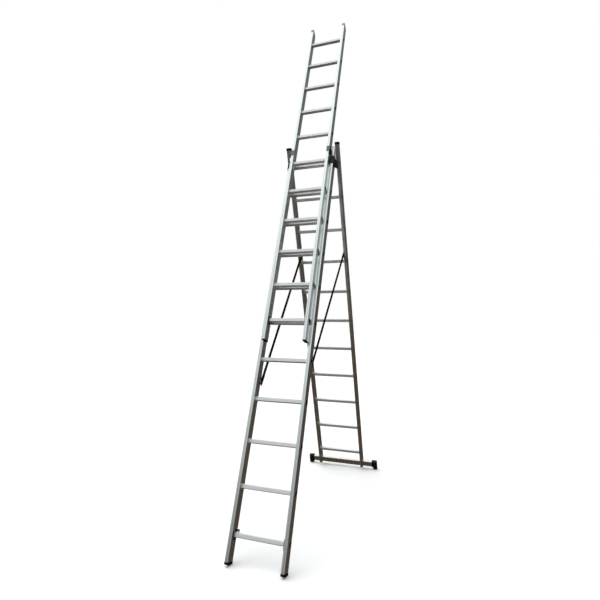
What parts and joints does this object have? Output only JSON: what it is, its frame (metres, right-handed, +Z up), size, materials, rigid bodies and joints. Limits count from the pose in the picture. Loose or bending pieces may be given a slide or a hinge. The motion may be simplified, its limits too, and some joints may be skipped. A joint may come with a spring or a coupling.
{
  "type": "combination ladder",
  "caption": "Three-section aluminium ladder standing as an A-frame, with an extending fly section, fold-out rear section, spreader straps and a stabiliser bar.",
  "frame": {"origin": "on the floor under the middle of the standing ladder, halfway between its front and rear feet", "axes": "+X across the ladder to its right as climbed, +Y from the climbing side to the rear section, +Z up"},
  "size_m": [0.71, 2.1786, 4.3119],
  "materials": {
    "stile_aluminium": "mill-finished extrusion with fine lengthwise lines",
    "rung_aluminium": "mill-finished fluted tube",
    "foot_rubber": "moulded black rubber",
    "black_plastic": "moulded black plastic",
    "grey_plastic": "moulded grey plastic",
    "black_steel": "black powder coat on pressed steel",
    "zinc_steel": "bright zinc plating",
    "strap_webbing": "woven black polyester webbing"
  },
  "bodies": {
    "front_section": {"front_fasteners": "zinc_steel", "front_feet": "foot_rubber", "front_hooks": "black_steel", "front_rung_01": "rung_aluminium", "front_rung_02": "rung_aluminium", "front_rung_03": "rung_aluminium", "front_rung_04": "rung_aluminium", "front_rung_05": "rung_aluminium", "front_rung_06": "rung_aluminium", "front_rung_07": "rung_aluminium", "front_rung_08": "rung_aluminium", "front_rung_09": "rung_aluminium", "front_rung_10": "rung_aluminium", "front_rung_11": "rung_aluminium", "front_stile_left": "stile_aluminium", "front_stile_right": "stile_aluminium", "front_top_plugs": "black_plastic", "guide_brackets": "zinc_steel", "guide_pads": "black_plastic", "hinge_bolts": "zinc_steel", "hinge_brackets": "black_steel"},
    "fly_section": {"fly_end_caps": "black_plastic", "fly_hooks": "black_steel", "fly_rivets": "zinc_steel", "fly_rung_01": "rung_aluminium", "fly_rung_02": "rung_aluminium", "fly_rung_03": "rung_aluminium", "fly_rung_04": "rung_aluminium", "fly_rung_05": "rung_aluminium", "fly_rung_06": "rung_aluminium", "fly_rung_07": "rung_aluminium", "fly_rung_08": "rung_aluminium", "fly_rung_09": "rung_aluminium", "fly_rung_10": "rung_aluminium", "fly_rung_11": "rung_aluminium", "fly_stile_left": "stile_aluminium", "fly_stile_right": "stile_aluminium", "fly_top_caps": "grey_plastic"},
    "rear_section": {"hinge_arms": "black_steel", "left_strap": "strap_webbing", "rear_fasteners": "zinc_steel", "rear_feet": "foot_rubber", "rear_rung_01": "rung_aluminium", "rear_rung_02": "rung_aluminium", "rear_rung_03": "rung_aluminium", "rear_rung_04": "rung_aluminium", "rear_rung_05": "rung_aluminium", "rear_rung_06": "rung_aluminium", "rear_rung_07": "rung_aluminium", "rear_rung_08": "rung_aluminium", "rear_rung_09": "rung_aluminium", "rear_rung_10": "rung_aluminium", "rear_rung_11": "rung_aluminium", "rear_stile_left": "stile_aluminium", "rear_stile_right": "stile_aluminium", "rear_top_caps": "black_plastic", "right_strap": "strap_webbing", "stabiliser_bar": "stile_aluminium", "stabiliser_bolts": "zinc_steel", "stabiliser_feet": "foot_rubber"}
  },
  "joints": [
    {"name": "rear_fold", "type": "hinge", "parent": "front_section", "child": "rear_section", "pos_m": [0, -0.063, 2.84233], "axis": [1, 0, 0], "range_deg": [-38.7, 0], "deforming": ["left_strap", "right_strap"]},
    {"name": "fly_slide", "type": "slide", "parent": "front_section", "child": "fly_section", "axis": [0, 0.3387, 0.9409], "range_m": [-1.4, 0.28]}
  ]
}
